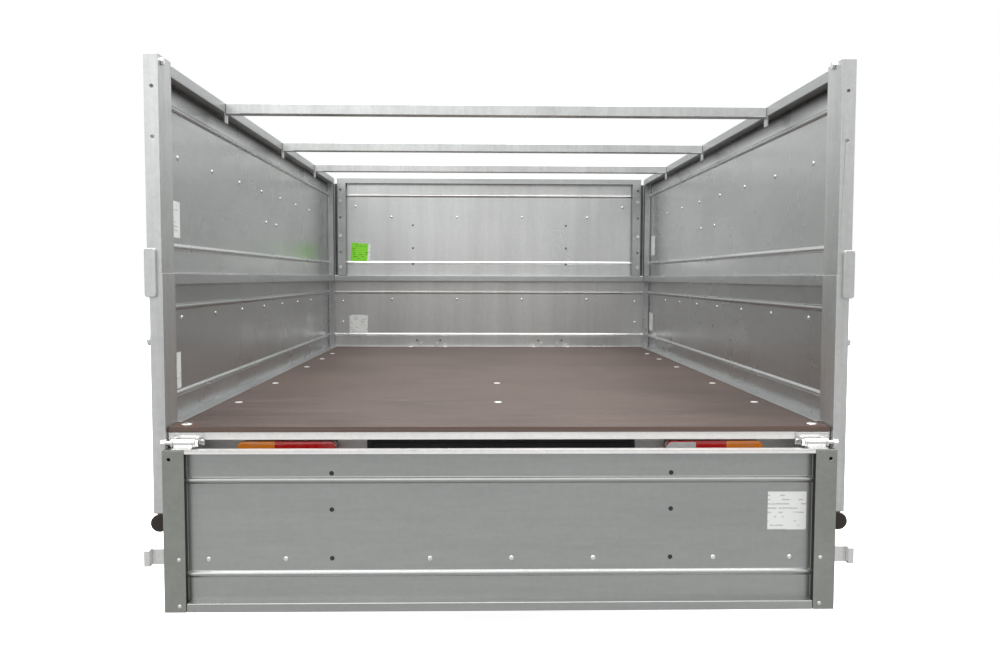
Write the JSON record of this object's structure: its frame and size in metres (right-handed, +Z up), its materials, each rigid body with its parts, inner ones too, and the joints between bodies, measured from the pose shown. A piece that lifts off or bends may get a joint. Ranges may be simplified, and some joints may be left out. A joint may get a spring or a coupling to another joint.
{
  "type": "livestock box trailer",
  "caption": "Galvanised single-axle box trailer with a second tier of sheet walls, roof bows, a brown plywood deck, a drop tailgate, a V drawbar and a jockey wheel.",
  "frame": {"origin": "on the ground under the middle of the trailer", "axes": "+X to the right, +Y forward towards the coupling, +Z up"},
  "size_m": [1.724, 3.1394, 1.22],
  "materials": {
    "galvanised": "hot-dip galvanised sheet",
    "bright_zinc": "bright zinc plated",
    "arm_steel": "galvanised forging",
    "deck_board": "dark brown film-faced plywood",
    "black_plastic": "grained black plastic",
    "lens_red": "clear coloured plastic",
    "rubber_black": "solid rubber",
    "tyre_black": "road tyre",
    "rim_silver": "silver lacquer",
    "hub_steel": "machined and zinc plated",
    "handle_black": "plastic-covered lever"
  },
  "bodies": {
    "chassis": {"side_rail_left": "galvanised", "side_rail_right": "galvanised", "rear_sill": "galvanised", "crossmembers": "galvanised", "drawbar_left": "galvanised", "drawbar_right": "galvanised", "drawbar_nose": "galvanised", "drawbar_brackets": "galvanised", "axle_beam": "galvanised", "axle_brackets": "galvanised", "mudguard_brackets": "galvanised", "lower_wall_left": "galvanised", "lower_wall_right": "galvanised", "lower_wall_front": "galvanised", "upper_wall_left": "galvanised", "upper_wall_right": "galvanised", "upper_wall_front": "galvanised", "lower_post_left": "galvanised", "lower_post_right": "galvanised", "upper_post_left": "galvanised", "upper_post_right": "galvanised", "front_corner_posts": "galvanised", "post_joint_plates": "galvanised", "roof_bows": "galvanised", "deck_bolts": "bright_zinc", "rope_hooks": "bright_zinc", "hinge_brackets": "bright_zinc", "hinge_pins": "bright_zinc", "latch_bases": "bright_zinc", "jockey_clamp": "bright_zinc", "jockey_outer_tube": "bright_zinc", "coupling_body": "bright_zinc", "deck": "deck_board", "mudguard_left": "black_plastic", "mudguard_right": "black_plastic", "tail_lamp_housings": "black_plastic", "number_plate_holder": "black_plastic", "tail_lamp_lenses": "lens_red", "tailgate_buffers": "rubber_black"},
    "tailgate": {"tailgate_panel": "galvanised", "tailgate_end_channels": "galvanised", "tailgate_hinge_leaves": "bright_zinc", "tailgate_catches": "bright_zinc", "tailgate_bolts": "bright_zinc"},
    "latch_left": {"latch_lever_left": "bright_zinc"},
    "latch_right": {"latch_lever_right": "bright_zinc"},
    "arm_left": {"swing_arm_left": "arm_steel"},
    "arm_right": {"swing_arm_right": "arm_steel"},
    "wheel_left": {"wheel_hub_left": "hub_steel", "wheel_rim_left": "rim_silver", "tyre_left": "tyre_black"},
    "wheel_right": {"wheel_hub_right": "hub_steel", "wheel_rim_right": "rim_silver", "tyre_right": "tyre_black"},
    "jockey_crank_body": {"jockey_crank": "bright_zinc"},
    "jockey_slide_body": {"jockey_inner_tube": "bright_zinc"},
    "jockey_fork_body": {"jockey_fork": "bright_zinc"},
    "jockey_wheel_body": {"jockey_wheel": "rubber_black"},
    "coupling_handle_body": {"coupling_handle": "handle_black"}
  },
  "joints": [
    {"name": "tailgate_hinge", "type": "hinge", "parent": "chassis", "child": "tailgate", "pos_m": [0, -1.54925, 0.503], "axis": [-1, 0, 0], "range_deg": [0, 180]},
    {"name": "latch_left_turn", "type": "hinge", "parent": "chassis", "child": "latch_left", "pos_m": [-0.663, -1.49925, 0.692], "axis": [-1, 0, 0], "range_deg": [0, 127]},
    {"name": "latch_right_turn", "type": "hinge", "parent": "chassis", "child": "latch_right", "pos_m": [0.663, -1.49925, 0.692], "axis": [-1, 0, 0], "range_deg": [0, 127]},
    {"name": "suspension_left", "type": "hinge", "parent": "chassis", "child": "arm_left", "pos_m": [-0.643, -0.45725, 0.316], "axis": [1, 0, 0], "range_deg": [-10, 7], "stiffness_Nm_per_rad": 1500, "springref_deg": 2.86},
    {"name": "suspension_right", "type": "hinge", "parent": "chassis", "child": "arm_right", "pos_m": [0.643, -0.45725, 0.316], "axis": [1, 0, 0], "range_deg": [-10, 7], "stiffness_Nm_per_rad": 1500, "springref_deg": 2.86},
    {"name": "wheel_left_spin", "type": "hinge", "parent": "arm_left", "child": "wheel_left", "pos_m": [-0.7675, -0.57925, 0.272], "axis": [1, 0, 0], "continuous": true},
    {"name": "wheel_right_spin", "type": "hinge", "parent": "arm_right", "child": "wheel_right", "pos_m": [0.7675, -0.57925, 0.272], "axis": [1, 0, 0], "continuous": true},
    {"name": "jockey_crank_turn", "type": "hinge", "parent": "chassis", "child": "jockey_crank_body", "pos_m": [-0.185, 1.06075, 0.7], "axis": [0, 0, 1], "range_deg": [0, 10800]},
    {"name": "jockey_lift", "type": "slide", "parent": "chassis", "child": "jockey_slide_body", "axis": [0, 0, 1], "range_m": [0, 0.15]},
    {"name": "jockey_swivel", "type": "hinge", "parent": "jockey_slide_body", "child": "jockey_fork_body", "pos_m": [-0.185, 1.06075, 0.215], "axis": [0, 0, 1], "continuous": true},
    {"name": "jockey_wheel_spin", "type": "hinge", "parent": "jockey_fork_body", "child": "jockey_wheel_body", "pos_m": [-0.185, 1.03075, 0.1], "axis": [1, 0, 0], "continuous": true},
    {"name": "coupling_handle_lift", "type": "hinge", "parent": "chassis", "child": "coupling_handle_body", "pos_m": [0, 1.49775, 0.5], "axis": [-1, 0, 0], "range_deg": [0, 50]}
  ],
  "couplings": [
    {"joint": "jockey_lift", "follows": "jockey_crank_turn", "m_per_rad": 0.00079577}
  ]
}
